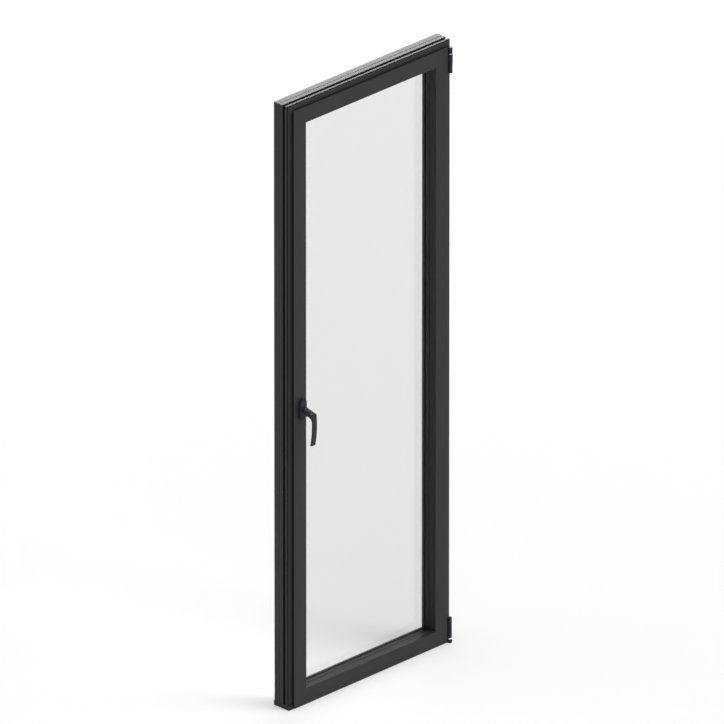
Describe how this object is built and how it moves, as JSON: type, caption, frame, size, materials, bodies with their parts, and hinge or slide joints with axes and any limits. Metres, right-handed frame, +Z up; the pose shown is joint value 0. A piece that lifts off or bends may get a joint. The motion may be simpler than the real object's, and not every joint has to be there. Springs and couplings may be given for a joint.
{
  "type": "french window",
  "caption": "Tall glazed french window: one inward-opening leaf with double glazing, lever handle and surface hinges in a slim anthracite thermally broken aluminium frame on a low threshold",
  "frame": {"origin": "on the underside of the threshold, at the middle of the frame's width and depth", "axes": "+X to the right seen from the room, +Y from the room to the outside, +Z up"},
  "size_m": [0.75, 0.1338, 2.15],
  "materials": {
    "profile_coating": "fine-grained matt anthracite powder coat on extruded aluminium",
    "break_plastic": "black fibre-filled polyamide",
    "end_block_plastic": "moulded blue-black plastic",
    "threshold_aluminium": "anthracite powder coat",
    "seal_rubber": "black EPDM seal",
    "spacer_bar": "dark warm-edge spacer",
    "clear_glass": "clear float glass",
    "hinge_coating": "satin blue-black coating",
    "hinge_pin_steel": "bright zinc-plated steel",
    "lock_steel": "plated steel",
    "handle_coating": "satin dark grey coating on aluminium"
  },
  "bodies": {
    "frame": {"frame_head_inner_shell": "profile_coating", "frame_head_outer_shell": "profile_coating", "frame_head_thermal_break": "break_plastic", "frame_left_inner_shell": "profile_coating", "frame_left_outer_shell": "profile_coating", "frame_left_thermal_break": "break_plastic", "frame_outer_seal": "seal_rubber", "frame_outside_flange": "profile_coating", "frame_right_inner_shell": "profile_coating", "frame_right_outer_shell": "profile_coating", "frame_right_thermal_break": "break_plastic", "threshold": "threshold_aluminium", "threshold_end_block_left": "end_block_plastic", "threshold_end_block_right": "end_block_plastic", "strike_plates": "lock_steel", "top_hinge_frame_part": "hinge_coating", "top_hinge_pin": "hinge_pin_steel", "bottom_hinge_bearing": "hinge_coating", "bottom_hinge_pin": "hinge_pin_steel"},
    "leaf": {"bottom_hinge_sash_part": "hinge_coating", "glass_edge_spacer": "spacer_bar", "glass_inner_pane": "clear_glass", "glass_outer_pane": "clear_glass", "glazing_bead_bottom": "profile_coating", "glazing_bead_left": "profile_coating", "glazing_bead_right": "profile_coating", "glazing_bead_top": "profile_coating", "glazing_gasket_outside": "seal_rubber", "glazing_gasket_room_side": "seal_rubber", "handle_rose": "handle_coating", "lock_faceplate": "lock_steel", "sash_bottom_rail": "profile_coating", "sash_bottom_thermal_break": "break_plastic", "sash_flap": "profile_coating", "sash_inner_seal": "seal_rubber", "sash_left_stile": "profile_coating", "sash_left_thermal_break": "break_plastic", "sash_right_stile": "profile_coating", "sash_right_thermal_break": "break_plastic", "sash_top_rail": "profile_coating", "sash_top_thermal_break": "break_plastic", "top_hinge_sash_part": "hinge_coating"},
    "handle": {"handle_lever": "handle_coating"}
  },
  "joints": [
    {"name": "leaf_hinge", "type": "hinge", "parent": "frame", "child": "leaf", "pos_m": [0.3645, -0.04, 0], "axis": [0, 0, 1], "range_deg": [0, 100]},
    {"name": "handle_turn", "type": "hinge", "parent": "leaf", "child": "handle", "pos_m": [-0.319, -0.04, 1.064], "axis": [0, -1, 0], "range_deg": [0, 90]}
  ]
}
